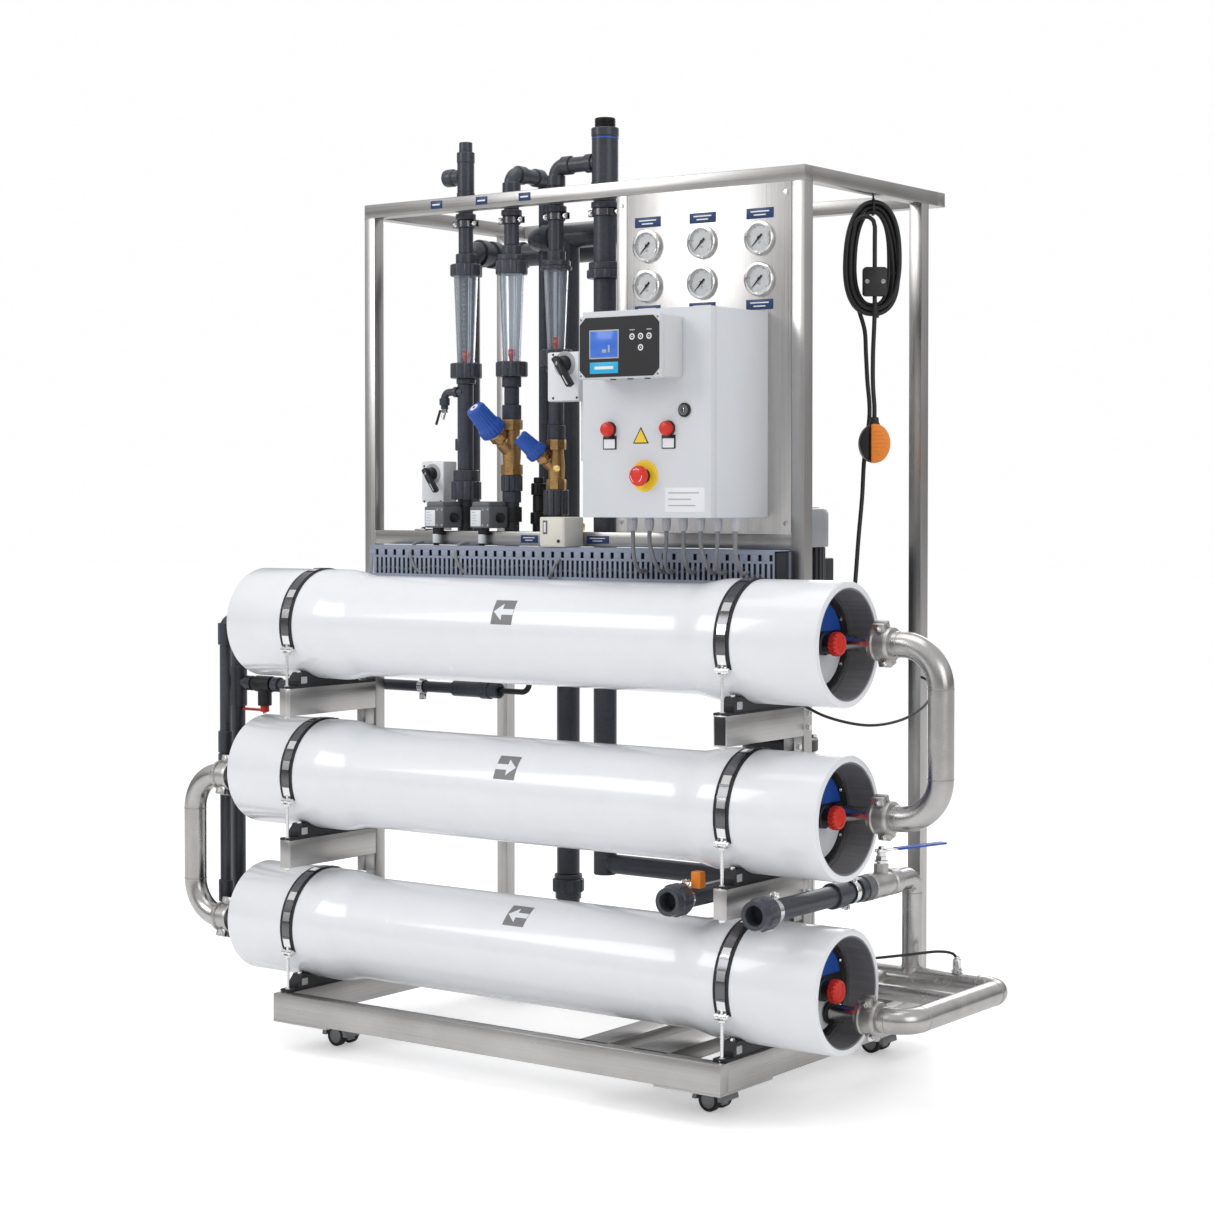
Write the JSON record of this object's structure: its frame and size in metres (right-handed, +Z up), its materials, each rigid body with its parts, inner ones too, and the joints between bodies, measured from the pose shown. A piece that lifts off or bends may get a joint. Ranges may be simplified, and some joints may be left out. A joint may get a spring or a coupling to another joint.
{
  "type": "reverse osmosis unit",
  "caption": "Wheeled reverse osmosis skid: horizontal membrane vessels, vertical pump, flow meters, gauge panel and control cabinet on a square-tube frame.",
  "frame": {"origin": "on the floor under the middle of the unit's box, its free float cable left out", "axes": "+Z up, -Y towards the vessels' side, which is the front, +X towards the vessels' right ends"},
  "size_m": [1.8348, 0.893, 1.942],
  "materials": {
    "frame_steel": "brushed stainless square tube and sheet",
    "pipe_steel": "pickled stainless pipe with cast couplings",
    "vessel_white": "gloss white painted glass-fibre tube",
    "head_plastic": "moulded end plug",
    "membrane": "wrapped membrane element",
    "pvc_grey": "dark blue-grey pressure PVC, satin",
    "pump_paint": "dark painted cast and sheet metal",
    "meter_clear": "clear moulded plastic, polished",
    "red_plastic": "red moulded plastic",
    "blue_plastic": "dark blue moulded plastic",
    "black_plastic": "black moulded plastic",
    "caster_grey": "grey moulded hood",
    "tyre_black": "black tyres",
    "duct_grey": "light blue-grey cable duct",
    "cabinet_grey": "light grey powder coat",
    "lock_metal": "die-cast key insert",
    "cable_rubber": "black rubber cable",
    "float_orange": "orange and black moulded float"
  },
  "bodies": {
    "frame": {"base_frame": "frame_steel", "cable_duct": "duct_grey", "column_lower_1": "pvc_grey", "column_lower_2": "pvc_grey", "column_lower_3": "pvc_grey", "column_upper_1": "pvc_grey", "control_cabinet": "cabinet_grey", "end_head_bottom": "head_plastic", "end_head_middle": "head_plastic", "end_head_top": "head_plastic", "feed_manifold": "pipe_steel", "float_cable_drop": "cable_rubber", "float_cable_hank": "cable_rubber", "float_cable_lead": "cable_rubber", "float_counterweight": "black_plastic", "float_switch": "float_orange", "gauge_panel": "frame_steel", "isolator_box_2": "cabinet_grey", "main_frame": "frame_steel", "membrane_element_bottom": "membrane", "membrane_element_middle": "membrane", "membrane_element_top": "membrane", "meter_tube_1": "meter_clear", "meter_tube_2": "meter_clear", "meter_tube_3": "meter_clear", "permeate_header": "pvc_grey", "pump": "pump_paint", "rear_pipework": "pvc_grey", "return_bend_left": "pipe_steel", "return_bend_right": "pipe_steel", "vessel_bottom": "vessel_white", "vessel_middle": "vessel_white", "vessel_top": "vessel_white"},
    "caster_1": {"caster_yoke_1": "caster_grey"},
    "caster_1_wheels": {"caster_wheels_1": "tyre_black"},
    "caster_2": {"caster_yoke_2": "caster_grey"},
    "caster_2_wheels": {"caster_wheels_2": "tyre_black"},
    "caster_3": {"caster_yoke_3": "caster_grey"},
    "caster_3_wheels": {"caster_wheels_3": "tyre_black"},
    "caster_4": {"caster_yoke_4": "caster_grey"},
    "caster_4_wheels": {"caster_wheels_4": "tyre_black"},
    "door": {"cabinet_door": "cabinet_grey", "control_box": "cabinet_grey"},
    "door_lock": {"door_lock": "lock_metal"},
    "stop_button": {"emergency_stop_button": "red_plastic"},
    "isolator_handle_1": {"isolator_handle_1": "black_plastic"},
    "isolator_handle_2": {"isolator_handle_2": "black_plastic"},
    "ball_valve_lever": {"ball_valve_lever": "blue_plastic"},
    "drain_valve_handle": {"drain_valve_handle": "red_plastic"},
    "valve_handwheel_1": {"valve_handwheel_1": "blue_plastic"},
    "valve_handwheel_2": {"valve_handwheel_2": "blue_plastic"},
    "meter_float_1": {"meter_float_1": "red_plastic"},
    "meter_float_2": {"meter_float_2": "red_plastic"},
    "meter_float_3": {"meter_float_3": "red_plastic"},
    "gauge_needle_1_1": {"gauge_needle_1_1": "black_plastic"},
    "gauge_needle_1_2": {"gauge_needle_1_2": "black_plastic"},
    "gauge_needle_2_1": {"gauge_needle_2_1": "black_plastic"},
    "gauge_needle_2_2": {"gauge_needle_2_2": "black_plastic"},
    "gauge_needle_3_1": {"gauge_needle_3_1": "black_plastic"},
    "gauge_needle_3_2": {"gauge_needle_3_2": "black_plastic"}
  },
  "joints": [
    {"name": "caster_1_swivel", "type": "hinge", "parent": "frame", "child": "caster_1", "pos_m": [-0.477, -0.2875, 0.05], "axis": [0, 0, 1], "continuous": true},
    {"name": "caster_1_roll", "type": "hinge", "parent": "caster_1", "child": "caster_1_wheels", "pos_m": [-0.491, -0.2875, 0.022], "axis": [0, 1, 0], "continuous": true},
    {"name": "caster_2_swivel", "type": "hinge", "parent": "frame", "child": "caster_2", "pos_m": [0.4705, -0.2875, 0.05], "axis": [0, 0, 1], "continuous": true},
    {"name": "caster_2_roll", "type": "hinge", "parent": "caster_2", "child": "caster_2_wheels", "pos_m": [0.4565, -0.2875, 0.022], "axis": [0, 1, 0], "continuous": true},
    {"name": "caster_3_swivel", "type": "hinge", "parent": "frame", "child": "caster_3", "pos_m": [-0.477, 0.3215, 0.05], "axis": [0, 0, 1], "continuous": true},
    {"name": "caster_3_roll", "type": "hinge", "parent": "caster_3", "child": "caster_3_wheels", "pos_m": [-0.491, 0.3215, 0.022], "axis": [0, 1, 0], "continuous": true},
    {"name": "caster_4_swivel", "type": "hinge", "parent": "frame", "child": "caster_4", "pos_m": [0.4705, 0.3215, 0.05], "axis": [0, 0, 1], "continuous": true},
    {"name": "caster_4_roll", "type": "hinge", "parent": "caster_4", "child": "caster_4_wheels", "pos_m": [0.4565, 0.3215, 0.022], "axis": [0, 1, 0], "continuous": true},
    {"name": "door_hinge", "type": "hinge", "parent": "frame", "child": "door", "pos_m": [0.1645, -0.2968, 1.321], "axis": [0, 0, -1], "range_deg": [0, 120]},
    {"name": "door_lock_turn", "type": "hinge", "parent": "door", "child": "door_lock", "pos_m": [0.4055, -0.3165, 1.3256], "axis": [0, 1, 0], "range_deg": [0, 90]},
    {"name": "stop_button_press", "type": "slide", "parent": "door", "child": "stop_button", "axis": [0, 1, 0], "range_m": [0, 0.0045], "stiffness_N_per_m": 800},
    {"name": "isolator_1_turn", "type": "hinge", "parent": "frame", "child": "isolator_handle_1", "pos_m": [0.017, -0.1788, 1.431], "axis": [0, 1, 0], "range_deg": [0, 90]},
    {"name": "isolator_2_turn", "type": "hinge", "parent": "frame", "child": "isolator_handle_2", "pos_m": [-0.4265, -0.0688, 1.212], "axis": [0, 1, 0], "range_deg": [0, 90]},
    {"name": "ball_valve_turn", "type": "hinge", "parent": "frame", "child": "ball_valve_lever", "pos_m": [0.6435, 0.0135, 0.4703], "axis": [0, 0, -1], "range_deg": [0, 90]},
    {"name": "drain_valve_turn", "type": "hinge", "parent": "frame", "child": "drain_valve_handle", "pos_m": [-0.7965, -0.2065, 0.6997], "axis": [0, 0, 1], "range_deg": [0, 90]},
    {"name": "balancing_valve_1_turn", "type": "hinge", "parent": "frame", "child": "valve_handwheel_1", "pos_m": [-0.2299, -0.09729, 1.29805], "axis": [-0.2203, -0.671, 0.708], "range_deg": [0, 1440]},
    {"name": "balancing_valve_2_turn", "type": "hinge", "parent": "frame", "child": "valve_handwheel_2", "pos_m": [-0.11944, -0.08575, 1.25017], "axis": [-0.4504, -0.6006, 0.6606], "range_deg": [0, 1440]},
    {"name": "meter_float_1_rise", "type": "slide", "parent": "frame", "child": "meter_float_1", "axis": [0, 0, 1], "range_m": [0, 0.15]},
    {"name": "meter_float_2_rise", "type": "slide", "parent": "frame", "child": "meter_float_2", "axis": [0, 0, 1], "range_m": [0, 0.15]},
    {"name": "meter_float_3_rise", "type": "slide", "parent": "frame", "child": "meter_float_3", "axis": [0, 0, 1], "range_m": [0, 0.135]},
    {"name": "gauge_1_1_sweep", "type": "hinge", "parent": "frame", "child": "gauge_needle_1_1", "pos_m": [0.1775, -0.119, 1.665], "axis": [0, 1, 0], "range_deg": [0, 270], "stiffness_Nm_per_rad": 0.0005},
    {"name": "gauge_1_2_sweep", "type": "hinge", "parent": "frame", "child": "gauge_needle_1_2", "pos_m": [0.1775, -0.119, 1.585], "axis": [0, 1, 0], "range_deg": [0, 270], "stiffness_Nm_per_rad": 0.0005},
    {"name": "gauge_2_1_sweep", "type": "hinge", "parent": "frame", "child": "gauge_needle_2_1", "pos_m": [0.31, -0.119, 1.665], "axis": [0, 1, 0], "range_deg": [0, 270], "stiffness_Nm_per_rad": 0.0005},
    {"name": "gauge_2_2_sweep", "type": "hinge", "parent": "frame", "child": "gauge_needle_2_2", "pos_m": [0.31, -0.119, 1.585], "axis": [0, 1, 0], "range_deg": [0, 270], "stiffness_Nm_per_rad": 0.0005},
    {"name": "gauge_3_1_sweep", "type": "hinge", "parent": "frame", "child": "gauge_needle_3_1", "pos_m": [0.4441, -0.119, 1.665], "axis": [0, 1, 0], "range_deg": [0, 270], "stiffness_Nm_per_rad": 0.0005},
    {"name": "gauge_3_2_sweep", "type": "hinge", "parent": "frame", "child": "gauge_needle_3_2", "pos_m": [0.4441, -0.119, 1.585], "axis": [0, 1, 0], "range_deg": [0, 270], "stiffness_Nm_per_rad": 0.0005}
  ]
}
